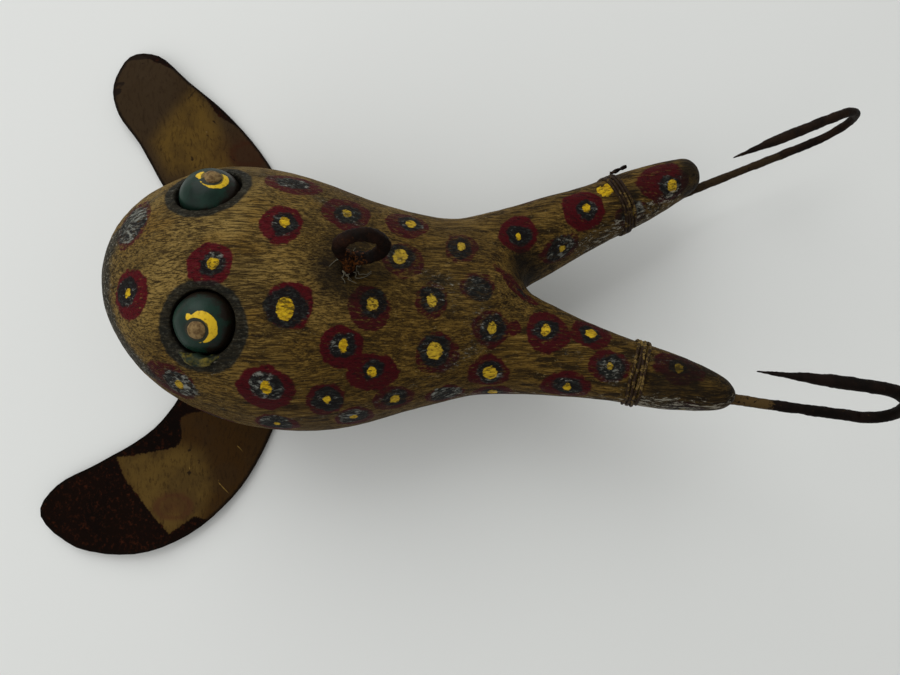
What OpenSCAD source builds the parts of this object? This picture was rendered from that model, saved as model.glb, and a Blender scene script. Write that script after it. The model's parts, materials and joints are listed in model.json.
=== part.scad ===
// Carved wooden frog fishing decoy: a drilled and painted body with two hind
// legs, ball eyes on pegs, a wire screw eye in the back, two tin front fins
// nailed under the chest and a forged barbed hook lashed under each leg.
//
// World frame: +X from nose to hooks, +Y to the frog's right, +Z up, z = 0 on
// the surface that the planed belly rests on. The body leans on that belly, so
// its own parts are drawn in a body frame and then leaned and lifted.

/* [Body] */
// Width of the head at its widest
head_w = 78; // [72:1:84]
// Height of the head at its widest
head_h = 61; // [56:1:66]
// Distance from the nose to the widest part of the head
nose_len = 44; // [40:0.5:50]
// Distance from the widest part of the head to the waist
back_len = 58; // [52:1:64]
// Width of the waist
waist_w = 56; // [50:1:60]
// Height of the waist
waist_h = 39; // [36:1:42]
// Angle that the body leans towards its right side when it stands
lean = 20; // [16:1:24]
// Height of the body's centre line above the surface it stands on
axis_height = 27.5; // [27:0.25:28.5]

/* [Hind legs] */
// Length of the left leg from its root to its toe
left_leg_len = 75; // [70:1:80]
// Length of the right leg from its root to its toe
right_leg_len = 77; // [72:1:82]
// Angle between each leg and the centre line
leg_splay = 20; // [17:1:24]
// Angle that the legs rise towards the toes
leg_rise = 6; // [3:1:9]
// Thickness of an ankle
ankle_d = 17.4; // [16:0.2:19]

/* [Eyes] */
// Diameter of the left eye ball
left_eye_d = 16.2; // [15:0.2:17.4]
// Diameter of the right eye ball
right_eye_d = 17.2; // [15:0.2:17.4]
// How much wider than its ball each socket is drilled
socket_play = 0.8; // [0.6:0.1:1.2]
// Distance between the centres of the two eye balls
eye_spread = 37; // [35.5:0.5:38.5]
// Diameter of the peg through each eye ball
eye_peg_d = 4.6; // [4:0.2:5.2]

/* [Line tie] */
// Thickness of the screw eye's wire
tie_wire_d = 3.6; // [3.2:0.1:4]
// Diameter of the screw eye's ring, measured to the middle of the wire
tie_ring_d = 11; // [10.6:0.2:12.4]

/* [Fins] */
// Thickness of the tin
tin_t = 0.5; // [0.3:0.1:0.5]
// Diameter of the nails that hold the fins
nail_d = 1.9; // [1.6:0.1:2.2]
// Distance between the two fin nails
nail_spread = 24; // [22:1:26]

/* [Hooks] */
// Thickness of the left hook's wire
left_hook_d = 2.9; // [2.6:0.1:3.4]
// Thickness of the right hook's wire
right_hook_d = 2.5; // [2.4:0.1:3.2]
// Gap of the hooks between the middles of shank and arm
hook_gap = 17.5; // [16:0.5:19]
// Length of a hook's shank
shank_len = 70; // [64:1:76]
// Length of the left hook's arm, from the bend to the point
left_arm_len = 26.5; // [25:0.5:34]
// Length of the right hook's arm
right_arm_len = 30.5; // [25:0.5:34]

/* [Lashings] */
// Thickness of the lashing wire
lash_d = 0.9; // [0.8:0.1:1.2]
// Number of turns round each ankle
lash_turns = 3.5; // [2.5:0.5:5.5]

/* [Hidden] */

LEFT = -1;
RIGHT = 1;
fit_gap = 0.07;        // radial gap of a pin in its hole
ease = 0.1;            // gap between pieces that lie on each other

// Placing of the whole part: the middle of its length and width is the origin
shift_x = 7;
shift_y = -14;
body_y = 11.5;

// Body sections
head_x = -54;
waist_x = head_x + back_len;
belly_x = -38;         // the belly is deepest a little behind the widest part
head_y = 2.2;          // sideways offset of the head's centre line
nose_y = 2.5;          // further offset of the nose
waist_y = -4;          // sideways offset of the waist's centre line
bow_start = -72;       // the centre line crosses over between here
bow_len = 56;          // and this far behind
nose_rise = 7;
waist_rise = 1;
tail_x = 22;           // the trunk ends here, between the legs
tail_w_start = -6;     // its width shrinks from here, its height from further back
tail_h_start = 10;
nose_blunt = 87;       // angle at which the nose ends in a small flat
section_power = 2.15;  // 2 is an ellipse, more is squarer
ring_points = 48;

// Planed chest
rebate_z = 1.6;        // underside of the wood over the fins
rebate_back = -45;

// Leg sections, as fractions of the leg's length
ankle_at = 0.62;
left_toe_start = 0.94;  // the left toe is rounded from here
right_toe_start = 0.97; // the right one is chopped off shorter
leg_root_x = 5;
leg_root_y = 10.5;
leg_mid_y = -0.5;      // both legs start this far off the centre line
leg_start = -0.35;     // the leg begins inside the trunk and swells to its root
leg_swell = 0.3;
leg_skew = 2.6;        // both legs turn a little towards the right side
left_root_r = 19;
right_root_r = 14;
root_half_h = 17;
left_toe_taper = 0.6;  // share of the ankle's thickness lost at the toe
right_toe_taper = 0.45;

// Eyes, measured from the head's centre line
eye_x = -63.6;
eye_skew = 1.9;        // the right eye sits this far ahead of the middle, the left one behind
eye_z = 22;
eye_y = 0.75;
left_socket_tilt = 28;  // outward tilt of each socket
right_socket_tilt = 12;
left_peg_tilt = 38;     // and of each peg
right_peg_tilt = 14;
right_peg_lean = 13;    // towards the hooks
peg_proud = 0.6;
peg_depth = 14;

// Line tie
tie_x = -26;
tie_y = -4.1;
tie_surface = 25.5;
tie_lean = 10;         // leans back, square to the sloping back
tie_yaw = 8;
tie_ring_offset = 2.6;  // the ring is bent to one side of the shank
tie_ring_height = 10.5;
tie_depth = 16;
tie_point = 5;
tie_land = 1.6;        // worn flat inside the ring, from the middle of the wire

// Fins and their nails, in the world frame before the shift
nail_x = -58;
nail_y = 17;
head_t = 0.9;          // thickness of a nail's head
head_d = 4.6;
nail_len = 15;
nail_point = 3;

// Belly weight
weight_x = -36.5;
weight_y = 14;
weight_d = 16;
weight_depth = 13;

// Hooks, in the frame of their leg
hook_start = 34;
hook_drop = 7.8;       // the shanks lie sunk in the wood, so that the lashings pass over them
leg_depth = 20;
hook_pitch = 5.5;
left_hook_yaw = 4.2;     // turn towards the middle
right_hook_yaw = 4;
left_hook_lean = 4;     // lean of the point towards the middle
right_hook_lean = 11;
right_hook_shift = 9.6; // the right hook is lashed on further back
left_hook_y = -2;       // both slots are sawn a little left of the leg's middle
right_hook_y = -1;
arm_swell = 1.12;      // the forged arm is thicker than the shank
point_len = 9;
barb_back = 19;

// Lashings
lash_at = 0.64;
lash_pitch = 1;
lash_end_d = 1.3;      // the free end is two strands, twisted
lash_rise = 0.42;      // clearance of the coil over the squarish ankle
lash_steps = 24;
lash_sides = 8;

function clamp(v) = min(1, max(0, v));
function ease_in_out(t) = (1 - cos(180 * clamp(t))) / 2;
function mix(a, b, t) = a + (b - a) * t;
function round_end(t) = sqrt(max(0, 1 - t * t));

function bulge(v) = sign(v) * pow(abs(v), 2 / section_power);

// Points of one closed section: a superellipse with half width a, and the heights up and down
function section(x, y, z, a, up, down) = [for (i = [0 : ring_points - 1])
    let (t = 360 * i / ring_points, c = cos(t), s = sin(t), b = s > 0 ? up : down)
    [x, y + a * bulge(c), z + b * bulge(s)]];

// Solid through a list of sections, closed at both ends
module loft(sections) {
    n = len(sections[0]);
    last = len(sections) - 1;
    sides = [for (k = [0 : last - 1], i = [0 : n - 1]) let (j = (i + 1) % n)
        [k * n + i, (k + 1) * n + i, (k + 1) * n + j, k * n + j]];
    polyhedron(
        points = [for (ring = sections) each ring],
        faces = concat([[for (i = [0 : n - 1]) i]], sides,
            [[for (i = [n - 1 : -1 : 0]) last * n + i]]),
        convexity = 6);
}

// Half width of the body at x, its heights above and below the centre line, and that line
function front(x) = (head_x - x) / nose_len;
function tail_end(x, start) = round_end(max(0, x - start) / (tail_x - start));
function swell(x, widest, head, waist) = x < widest
    ? head * round_end((widest - x) / (nose_len + widest - head_x))
    : mix(head, waist, ease_in_out((x - widest) / (waist_x - widest)));
function body_half_w(x) = swell(x, head_x, head_w / 2, waist_w / 2) * tail_end(x, tail_w_start);
function body_up(x) = swell(x, head_x, head_h / 2, waist_h / 2) * tail_end(x, tail_h_start);
function body_down(x) = swell(x, belly_x, head_h / 2, waist_h / 2) * tail_end(x, tail_h_start);
function body_mid_y(x) = mix(head_y, waist_y, ease_in_out((x - bow_start) / bow_len))
    + nose_y * pow(max(0, front(x)), 2);
function body_mid_z(x) = x < head_x ? nose_rise * pow(front(x), 2)
    : waist_rise * ease_in_out((x - head_x) / back_len);

// Stations along the body: by angle round the nose and the tail, evenly between
body_stations = concat(
    [for (a = [nose_blunt : -nose_blunt / 10 : 0]) head_x - nose_len * sin(a)],
    [for (i = [1 : 10]) mix(head_x, tail_h_start, i / 10)],
    [for (a = [20 : 20 : 80]) mix(tail_h_start, tail_x, sin(a))]);

// Half thickness of a leg at the fraction t of its length, from a given root
function leg_r(side, t, root) = t < ankle_at
    ? mix(ankle_d / 2, root, pow(1 - clamp(t / ankle_at), 1.3))
    : ankle_d / 2 * (1 - toe_taper(side) * pow((t - ankle_at) / (1 - ankle_at), 1.75))
        * round_end(max(0, t - toe_start(side)) / (1 - toe_start(side)));
function leg_inside(t) = mix(0.55, 1, ease_in_out((t - leg_start) / leg_swell));
function toe_taper(side) = side == LEFT ? left_toe_taper : right_toe_taper;
function toe_start(side) = side == LEFT ? left_toe_start : right_toe_start;
function leg_stations(side) = concat(
    [for (i = [0 : 16]) mix(leg_start, toe_start(side), i / 16)],
    [for (a = [30 : 25 : 80]) mix(toe_start(side), 1, sin(a))]);

function leg_len(side) = side == LEFT ? left_leg_len : right_leg_len;
function toe_x(side) = leg_root_x + leg_len(side) * cos(leg_rise) * cos(side * leg_splay + leg_skew);
body_len = nose_len * sin(nose_blunt) - head_x + max(toe_x(LEFT), toe_x(RIGHT));

function root_r(side) = side == LEFT ? left_root_r : right_root_r;

// Frame of the body's own parts
module body_frame() {
    translate([shift_x, body_y + shift_y, axis_height]) rotate([-lean, 0, 0]) children();
}

// Frame of one leg: +X along the leg towards the toe
module leg_frame(side) {
    translate([leg_root_x, leg_mid_y + side * leg_root_y, 0])
        rotate([0, -leg_rise, side * leg_splay + leg_skew]) children();
}

// Frame of one eye: the ball's centre
module eye_frame(side, tilt, lean = 0) {
    translate([eye_x - side * eye_skew, eye_y + side * eye_spread / 2, eye_z])
        rotate([-side * tilt, lean, 0]) children();
}

module peg_frame(side) {
    eye_frame(side, peg_tilt(side), side == LEFT ? 0 : right_peg_lean) children();
}

// Frame of the line tie: the shank's axis where it leaves the wood
module tie_frame() {
    translate([tie_x, tie_y, tie_surface]) rotate([0, tie_lean, tie_yaw]) children();
}

// Place of one fin nail
module nail_place(side) {
    translate([nail_x + shift_x, nail_y + side * nail_spread / 2 + shift_y, 0]) children();
}

module leg(side) {
    loft([for (t = leg_stations(side))
        let (w = leg_inside(t) * leg_r(side, t, root_r(side)),
            h = leg_inside(t) * leg_r(side, t, root_half_h))
        section(t * leg_len(side), 0, 0, w, h, h)]);
}

module trunk() {
    loft([for (x = body_stations)
        section(x, body_mid_y(x), body_mid_z(x), body_half_w(x), body_up(x), body_down(x))]);
}

// Trunk and legs as one piece of wood, at its exact length from nose to toe
module carving() {
    resize([body_len, 0, 0]) union() {
        trunk();
        leg_frame(LEFT) leg(LEFT);
        leg_frame(RIGHT) leg(RIGHT);
    }
}

module body() {
    color("darkkhaki") difference() {
        body_frame() carving();
        chest_cuts();
        nail_place(LEFT) cylinder(d = nail_d + 2 * fit_gap, h = nail_len, $fn = 32);
        nail_place(RIGHT) cylinder(d = nail_d + 2 * fit_gap, h = nail_len, $fn = 32);
        body_frame() {
            eye_cuts(LEFT);
            eye_cuts(RIGHT);
            tie_frame() translate([0, 0, -tie_depth - ease])
                cylinder(d = tie_wire_d + 2 * fit_gap, h = tie_depth + 2 * tie_point, $fn = 48);
            hook_frame(LEFT) hook_groove(left_hook_d);
            hook_frame(RIGHT) hook_groove(right_hook_d);
        }
    }
}

// Planed flat that the decoy stands on, the rebate for the fins and the weight's hole
module chest_cuts() {
    planed = 300;
    translate([-planed / 2, -planed / 2, -planed]) cube([planed, planed, planed]);
    translate([rebate_back + shift_x - planed, -planed / 2, -planed])
        cube([planed, planed, planed + rebate_z]);
    translate([weight_x + shift_x, weight_y + shift_y, -1])
        cylinder(d = weight_d + 2 * ease, h = weight_depth + 1 + ease, $fn = 64);
}

function socket_tilt(side) = side == LEFT ? left_socket_tilt : right_socket_tilt;
function peg_tilt(side) = side == LEFT ? left_peg_tilt : right_peg_tilt;
function eye_d(side) = side == LEFT ? left_eye_d : right_eye_d;

module eye_cuts(side) {
    reach = 30;
    eye_frame(side, socket_tilt(side)) translate([0, 0, -eye_d(side) / 2 - ease])
        cylinder(d = eye_d(side) + socket_play, h = reach, $fn = 72);
    peg_frame(side) translate([0, 0, -peg_depth - ease])
        cylinder(d = eye_peg_d + 2 * fit_gap, h = peg_depth, $fn = 40);
}

module eye_ball(side) {
    color("darkslategray") body_frame() difference() {
        eye_frame(side, socket_tilt(side)) sphere(d = eye_d(side), $fn = 72);
        peg_frame(side) translate([0, 0, -eye_d(side)])
            cylinder(d = eye_peg_d + 2 * fit_gap, h = 2 * eye_d(side), $fn = 40);
    }
}

// Peg with a slightly domed top, driven through the ball into the wood
module eye_peg(side) {
    top = eye_d(side) / 2 + peg_proud;
    bevel = 0.5;
    color("peru") body_frame() peg_frame(side) {
        translate([0, 0, -peg_depth]) cylinder(d = eye_peg_d, h = peg_depth + top - bevel, $fn = 40);
        translate([0, 0, top - bevel])
            cylinder(d1 = eye_peg_d, d2 = eye_peg_d - 2 * bevel, h = bevel, $fn = 40);
    }
}

// Lump of filler between the left ball and the outer wall of its socket
module left_eye_putty() {
    inner = left_eye_d / 2 + ease;
    outer = (left_eye_d + socket_play) / 2 - ease;
    low = 1.2;
    high = 4.6;
    spread = 76;
    color("olivedrab") body_frame() eye_frame(LEFT, left_socket_tilt)
        rotate([0, 0, -100 - spread / 2]) rotate_extrude(angle = spread, $fn = 72)
            polygon([[inner, low], [outer, low], [outer, high],
                [inner - 0.3, high + 0.3], [inner - 0.9, high]]);
}

// Wire screw eye: the ring stands to one side of the shank, and its end closes on the shank
module line_tie() {
    ring_r = tie_ring_d / 2;
    wire_r = tie_wire_d / 2;
    meet = -sqrt(ring_r * ring_r - tie_ring_offset * tie_ring_offset);
    meet_angle = 180 + acos(tie_ring_offset / ring_r);
    end_gap = 24;
    color("saddlebrown") body_frame() tie_frame() {
        translate([tie_ring_offset, 0, tie_ring_height]) rotate([90, 0, 0])
            rotate([0, 0, meet_angle + end_gap]) difference() {
                rotate_extrude(angle = 360 - end_gap, $fn = 96)
                    translate([ring_r, 0]) circle(r = wire_r, $fn = 40);
                cylinder(r = ring_r - tie_land, h = 2 * wire_r, center = true, $fn = 96);
            }
        translate([0, 0, tie_point - tie_depth])
            cylinder(r = wire_r, h = tie_depth - tie_point + tie_ring_height + meet, $fn = 40);
        translate([0, 0, -tie_depth]) cylinder(r1 = 0.4, r2 = wire_r, h = tie_point, $fn = 40);
    }
}

// Smooth closed outline through a few points
function through(p, steps) = [for (i = [0 : len(p) - 1], k = [0 : steps - 1])
    let (n = len(p), a = p[(i + n - 1) % n], b = p[i], c = p[(i + 1) % n], d = p[(i + 2) % n])
    curve(a, b, c, d, k / steps)];
function curve(a, b, c, d, t) = 0.5 * (2 * b + (c - a) * t
    + (2 * a - 5 * b + 4 * c - d) * t * t + (3 * b - a - 3 * c + d) * t * t * t);

// Outlines of the fins, from the nail: forward is -X and out is -Y on the left, +Y on the right
left_fin_outline = [[9, 0], [4, 8], [-8, 6], [-24, -10], [-33, -26], [-42, -36], [-57, -45], [-70, -52],
    [-75, -62], [-63, -72], [-44, -74], [-27, -68], [-13, -56], [-4, -42], [3, -24]];
right_fin_outline = [[9, 0], [5, -8], [-8, -7], [-24, 2], [-37, 21], [-46, 37], [-53, 47], [-55, 57],
    [-50, 67], [-40, 67], [-29.5, 58], [-18, 48.5], [-6, 35], [4, 18]];

module fin(side, outline) {
    color("sienna") nail_place(side) translate([0, 0, head_t + ease]) difference() {
        linear_extrude(height = tin_t) polygon(through(outline, 4));
        translate([0, 0, -1]) cylinder(d = nail_d + 2 * fit_gap, h = 3, $fn = 32);
    }
}

module fin_nail(side) {
    color("dimgray") nail_place(side) {
        cylinder(d = head_d, h = head_t, $fn = 40);
        cylinder(d = nail_d, h = nail_len - nail_point, $fn = 32);
        translate([0, 0, nail_len - nail_point - 0.01])
            cylinder(d1 = nail_d, d2 = 0.3, h = nail_point - ease, $fn = 32);
    }
}

// Lead poured into a drilled hole in the belly, its face level with the wood
module belly_weight() {
    color("slategray") translate([weight_x + shift_x, weight_y + shift_y, 0])
        cylinder(d = weight_d, h = weight_depth, $fn = 64);
}

// Frame of one hook: +X along the shank from its end under the leg, +Z towards the arm
module hook_frame(side) {
    shift = side == RIGHT ? right_hook_shift : 0;
    yaw = side == RIGHT ? right_hook_yaw : left_hook_yaw;
    lean_in = side == RIGHT ? right_hook_lean : left_hook_lean;
    off_middle = side == RIGHT ? right_hook_y : left_hook_y;
    leg_frame(side) translate([hook_start + shift, off_middle, -hook_drop])
        rotate([side * lean_in, -hook_pitch, -side * yaw]) children();
}

// Slot sawn into the underside of the leg, as wide as the shank that lies in it
module hook_groove(wire_d) {
    width = wire_d + 2 * ease;
    translate([-1, 0, 0]) rotate([0, 90, 0]) cylinder(d = width, h = shank_len, $fn = 40);
    translate([-1, -width / 2, -leg_depth]) cube([shank_len, width, leg_depth]);
}

// Shank, bend, arm, point and barb
module hook(wire_d, arm_len) {
    bend_r = hook_gap / 2;
    arm_d = wire_d * arm_swell;
    rotate([0, 90, 0]) cylinder(d = wire_d, h = shank_len, $fn = 40);
    translate([shank_len, 0, bend_r]) rotate([90, 0, 0]) rotate([0, 0, -90])
        rotate_extrude(angle = 180, $fn = 72) translate([bend_r, 0]) circle(d = wire_d, $fn = 40);
    translate([shank_len, 0, hook_gap]) rotate([0, -90, 0]) {
        cylinder(d1 = wire_d, d2 = arm_d, h = 8, $fn = 40);
        translate([0, 0, 8]) cylinder(d = arm_d, h = arm_len - point_len - 8, $fn = 40);
        translate([0, 0, arm_len - point_len]) cylinder(d1 = arm_d, d2 = 0.4, h = point_len, $fn = 40);
    }
    translate([shank_len - arm_len + barb_back, 0, hook_gap - arm_d / 2 + 0.3]) rotate([0, 68, 0])
        cylinder(d1 = arm_d * 0.8, d2 = 0.3, h = 5, $fn = 24);
}

module leg_hook(side, wire_d, arm_len) {
    color("dimgray") body_frame() hook_frame(side) hook(wire_d, arm_len);
}

// Coil of wire round the X axis: one ring of points across the wire at each step
module wire_coil(turn_r, wire_r, turns, pitch) {
    loft([for (i = [0 : turns * lash_steps]) let (a = 360 * i / lash_steps)
        [for (k = [lash_sides : -1 : 1])
            let (b = 360 * k / lash_sides, r = turn_r + wire_r * cos(b))
            [wire_r * sin(b) + pitch * (a / 360 - turns / 2), r * cos(a), r * sin(a)]]]);
}

// Wire wound round the ankle, over the hook's shank
module lashing(side) {
    color("tan") body_frame() leg_frame(side) translate([lash_at * leg_len(side), 0, 0])
        wire_coil(ankle_d / 2 + lash_rise + lash_d / 2, lash_d / 2, lash_turns, lash_pitch);
}

// Free end of the right lashing, sticking out over the leg
module right_lashing_end() {
    color("dimgray") body_frame() leg_frame(RIGHT)
        translate([lash_at * right_leg_len + 3.2, ankle_d / 2 + lash_rise + lash_end_d / 2, 2])
        rotate([0, 90, 0]) cylinder(d = lash_end_d, h = 5, $fn = 24);
}

body();
belly_weight();
eye_ball(LEFT);  // left_eye_ball
eye_ball(RIGHT);  // right_eye_ball
eye_peg(LEFT);  // left_eye_peg
eye_peg(RIGHT);  // right_eye_peg
left_eye_putty();
line_tie();
fin(LEFT, left_fin_outline);  // left_fin
fin(RIGHT, right_fin_outline);  // right_fin
fin_nail(LEFT);  // left_fin_nail
fin_nail(RIGHT);  // right_fin_nail
leg_hook(LEFT, left_hook_d, left_arm_len);  // left_hook
leg_hook(RIGHT, right_hook_d, right_arm_len);  // right_hook
lashing(LEFT);  // left_lashing
lashing(RIGHT);  // right_lashing
right_lashing_end();
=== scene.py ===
"""Looks of the carved frog decoy: painted wood, ball eyes, tin fins, rusted wire and hooks.

Lengths are in millimetres until a mesh is made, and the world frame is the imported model's:
+X from nose to hooks, +Y to the frog's right, +Z up.
"""
import json
import math

import bmesh
import bpy
import numpy as np
from mathutils import Matrix, Vector, noise
from mathutils.bvhtree import BVHTree


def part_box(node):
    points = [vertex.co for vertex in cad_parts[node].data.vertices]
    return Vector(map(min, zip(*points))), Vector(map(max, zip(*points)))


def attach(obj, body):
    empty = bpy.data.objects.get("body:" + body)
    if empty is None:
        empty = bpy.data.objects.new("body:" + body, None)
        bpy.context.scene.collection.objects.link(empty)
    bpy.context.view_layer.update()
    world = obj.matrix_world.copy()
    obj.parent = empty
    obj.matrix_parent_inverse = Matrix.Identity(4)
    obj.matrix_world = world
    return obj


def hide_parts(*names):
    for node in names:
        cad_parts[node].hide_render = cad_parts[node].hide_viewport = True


MM = 0.001
LEFT, RIGHT = -1, 1

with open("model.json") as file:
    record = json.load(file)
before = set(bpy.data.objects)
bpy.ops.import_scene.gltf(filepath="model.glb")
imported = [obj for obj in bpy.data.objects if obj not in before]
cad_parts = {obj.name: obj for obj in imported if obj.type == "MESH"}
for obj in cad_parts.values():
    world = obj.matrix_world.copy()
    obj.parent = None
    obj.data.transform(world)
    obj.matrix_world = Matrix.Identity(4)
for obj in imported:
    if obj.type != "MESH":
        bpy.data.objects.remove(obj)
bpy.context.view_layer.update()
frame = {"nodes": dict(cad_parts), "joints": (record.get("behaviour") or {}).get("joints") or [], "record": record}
scene = bpy.context.scene


# ---------------------------------------------------------------- frames of the wooden parts

def turned(degrees, axis):
    return Matrix.Rotation(math.radians(degrees), 4, axis)


def moved(x, y, z):
    return Matrix.Translation((x, y, z))


BODY = moved(7, -2.5, 27.5) @ turned(-20, "X")
LEG_LENGTH = {LEFT: 75, RIGHT: 77}
SOCKET_TILT = {LEFT: 28, RIGHT: 12}     # degrees outwards from the body's own up
PEG_TILT = {LEFT: 38, RIGHT: 14}        # the same for the pegs
PEG_LEAN = {LEFT: 0, RIGHT: 16}         # degrees towards the hooks


def leg_frame(side):
    return BODY @ moved(5, side * 10.5 - 0.5, 0) @ turned(20 * side + 2.6, "Z") @ turned(-6, "Y")


# Each hook's place along its leg and across it, and its two angles in degrees
HOOK_SEAT = {LEFT: (34, -2, 4.2, 4), RIGHT: (43.6, -1, 4, 11)}


def hook_frame(side):
    along, across, yaw, lean = HOOK_SEAT[side]
    place = leg_frame(side) @ moved(along, across, -7.8)
    return place @ turned(-side * yaw, "Z") @ turned(-5.5, "Y") @ turned(side * lean, "X")


def eye_axis(side, tilt):
    """Direction out of the head at a sideways tilt, in the world frame."""
    return (BODY @ turned(-side * tilt, "X")).to_3x3() @ Vector((0, 0, 1))


def middle(node):
    low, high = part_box(node)
    return (low + high) / 2 / MM


EYE = {LEFT: middle("left_eye_ball"), RIGHT: middle("right_eye_ball")}
EYE_RADIUS = {LEFT: 8.1, RIGHT: 8.6}
NAIL = {LEFT: middle("left_fin_nail"), RIGHT: middle("right_fin_nail")}
MOUNTS = {m["name"]: m for m in frame["record"]["mounts"]}
JOINTS = {j["name"]: j for j in frame["joints"]}


# ---------------------------------------------------------------- node materials

def srgb(red, green, blue):
    """Linear colour from 8-bit display values."""
    parts = [v / 255 for v in (red, green, blue)]
    return [v / 12.92 if v < 0.04 else ((v + 0.055) / 1.055) ** 2.4 for v in parts] + [1]


class Paint:
    """Builds one material's node tree. Masks and colours are sockets or plain values."""

    def __init__(self, name):
        self.material = bpy.data.materials.new(name)
        self.material.use_nodes = True
        self.tree = self.material.node_tree
        self.shader = self.tree.nodes["Principled BSDF"]
        self.place = self.node("ShaderNodeTexCoord").outputs["Object"]

    def node(self, kind, inputs=(), **settings):
        made = self.tree.nodes.new(kind)
        for key, value in settings.items():
            setattr(made, key, value)
        for key, value in dict(inputs).items():
            self.put(made.inputs[key], value)
        return made

    def put(self, socket, value):
        if isinstance(value, bpy.types.NodeSocket):
            self.tree.links.new(value, socket)
        else:
            socket.default_value = value

    def stretched(self, squeeze, wobble):
        """The mesh's own coordinates, squeezed along the axes and bent by a slow noise."""
        place = self.place
        if wobble:
            bend = self.node("ShaderNodeTexNoise", {"Vector": place, "Scale": 45.0})
            offset = self.node("ShaderNodeVectorMath", {0: bend.outputs["Color"], 1: (0.5,) * 3},
                               operation="SUBTRACT").outputs[0]
            place = self.node("ShaderNodeVectorMath", {0: offset, 1: (wobble,) * 3, 2: place},
                              operation="MULTIPLY_ADD").outputs[0]
        return self.node("ShaderNodeMapping", {"Vector": place, "Scale": squeeze}).outputs[0]

    def noise(self, size, squeeze=None, wobble=0.0, detail=4.0, rough=0.55, seed=0.0):
        """Cloudy noise from 0 to 1. Features are about size millimetres, longer where squeezed."""
        place = self.stretched(squeeze, wobble) if squeeze else self.place
        inputs = {"Vector": place, "W": seed, "Scale": 700 / size, "Detail": detail,
                  "Roughness": rough}
        return self.node("ShaderNodeTexNoise", inputs, noise_dimensions="4D").outputs["Fac"]

    def wander(self, size, squeeze=None, **looks):
        """Noise around 0, to make an edge ragged."""
        return self.math("SUBTRACT", self.noise(size, squeeze, **looks), 0.5)

    def attribute(self, name):
        return self.node("ShaderNodeAttribute", attribute_name=name).outputs["Fac"]

    def math(self, operation, a, b=0.0, c=0.0):
        return self.node("ShaderNodeMath", {0: a, 1: b, 2: c}, operation=operation).outputs[0]

    def scaled(self, value, factor, plus=0.0):
        return self.math("MULTIPLY_ADD", value, factor, plus)

    def step(self, value, low, high):
        """0 below low and 1 above high, or the other way round when low is above high."""
        made = self.node("ShaderNodeMapRange", {"Value": value, "From Min": low, "From Max": high},
                         interpolation_type="SMOOTHSTEP")
        return made.outputs["Result"]

    def past(self, value, low, soft):
        """0 below low and 1 from a soft margin past it. low may be a socket."""
        return self.step(value, low, self.math("ADD", low, soft))

    def both(self, first, second):
        """Where two masks overlap."""
        return self.math("MULTIPLY", first, second)

    def mix(self, share, below, above):
        """Colour that goes from below to above as share goes from 0 to 1."""
        made = self.node("ShaderNodeMix", data_type="RGBA")
        self.put(made.inputs["Factor"], share)
        self.put(made.inputs["A"], below)
        self.put(made.inputs["B"], above)
        return made.outputs["Result"]

    def over(self, below, mask, above, share):
        """A coat of above where the mask is, at a share of its full strength."""
        return self.mix(self.scaled(mask, share), below, above)

    def inside(self, distance, soft=0.12):
        """1 where a signed distance in millimetres is below 0."""
        return self.step(distance, soft, -soft)

    def finish(self, colour, rough, height=None, depth=0.1, metallic=0.0, specular=0.5):
        """Colour, roughness and a bump whose height of 1 stands depth millimetres tall."""
        self.put(self.shader.inputs["Base Color"], colour)
        self.put(self.shader.inputs["Roughness"], rough)
        self.put(self.shader.inputs["Metallic"], metallic)
        self.shader.inputs["Specular IOR Level"].default_value = specular
        if height is not None:
            bump = self.node("ShaderNodeBump",
                             {"Height": height, "Distance": depth * MM, "Strength": 1.0})
            self.put(self.shader.inputs["Normal"], bump.outputs[0])
        return self.material


def blend(paint, share, first, second):
    """Number between two others."""
    return paint.scaled(share, paint.math("SUBTRACT", second, first), first)


def wood_paint(paint):
    """Ochre paint rubbed thin over dark wood: hairlines along the trunk, specks on the nose."""
    hairs = paint.noise(0.24, (0.045, 1, 1), wobble=0.003, detail=5, rough=0.76)
    specks = paint.noise(0.36, (0.6, 1, 1), rough=0.72, seed=3)
    grain = blend(paint, paint.attribute("nose"), hairs, specks)
    strokes = paint.noise(1.1, (0.2, 1, 1), wobble=0.006, detail=5, rough=0.68, seed=5)
    clouds = paint.noise(13, seed=7)
    warm = paint.noise(6, (0.5, 1, 1), seed=9)
    # Darker, browner and more rubbed towards the rear and the left flank: partly older paint, partly painted
    # shade.
    aged = paint.attribute("age")
    cover = blend(paint, paint.scaled(aged, 0.2, 0.13), grain, strokes)

    tan = paint.mix(paint.step(clouds, 0.35, 0.65), srgb(128, 104, 54), srgb(100, 80, 40))
    tan = paint.over(tan, paint.step(warm, 0.45, 0.7), srgb(114, 84, 28), 0.7)
    tan = paint.mix(aged, tan, srgb(93, 70, 26))
    thin = paint.scaled(aged, -0.02, paint.scaled(clouds, -0.05, 0.495))
    worn = paint.past(cover, thin, 0.10)
    colour = paint.over(tan, worn, srgb(34, 22, 8), 0.86)
    split = paint.scaled(paint.attribute("split"), -0.07, 0.575)
    scratch = paint.past(strokes, split, 0.06)
    colour = paint.over(colour, scratch, srgb(24, 15, 6), 0.7)
    bright = paint.step(cover, 0.43, 0.35)
    colour = paint.over(colour, bright, srgb(160, 136, 78), 0.45)
    pores = paint.noise(0.3, (0.5, 1, 1), detail=2, rough=0.7, seed=10)
    colour = paint.over(colour, paint.step(pores, 0.56, 0.66), srgb(24, 16, 7), 0.6)
    colour = paint.over(colour, paint.step(pores, 0.36, 0.28), srgb(150, 132, 92), 0.4)
    return colour, worn, cover


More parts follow.
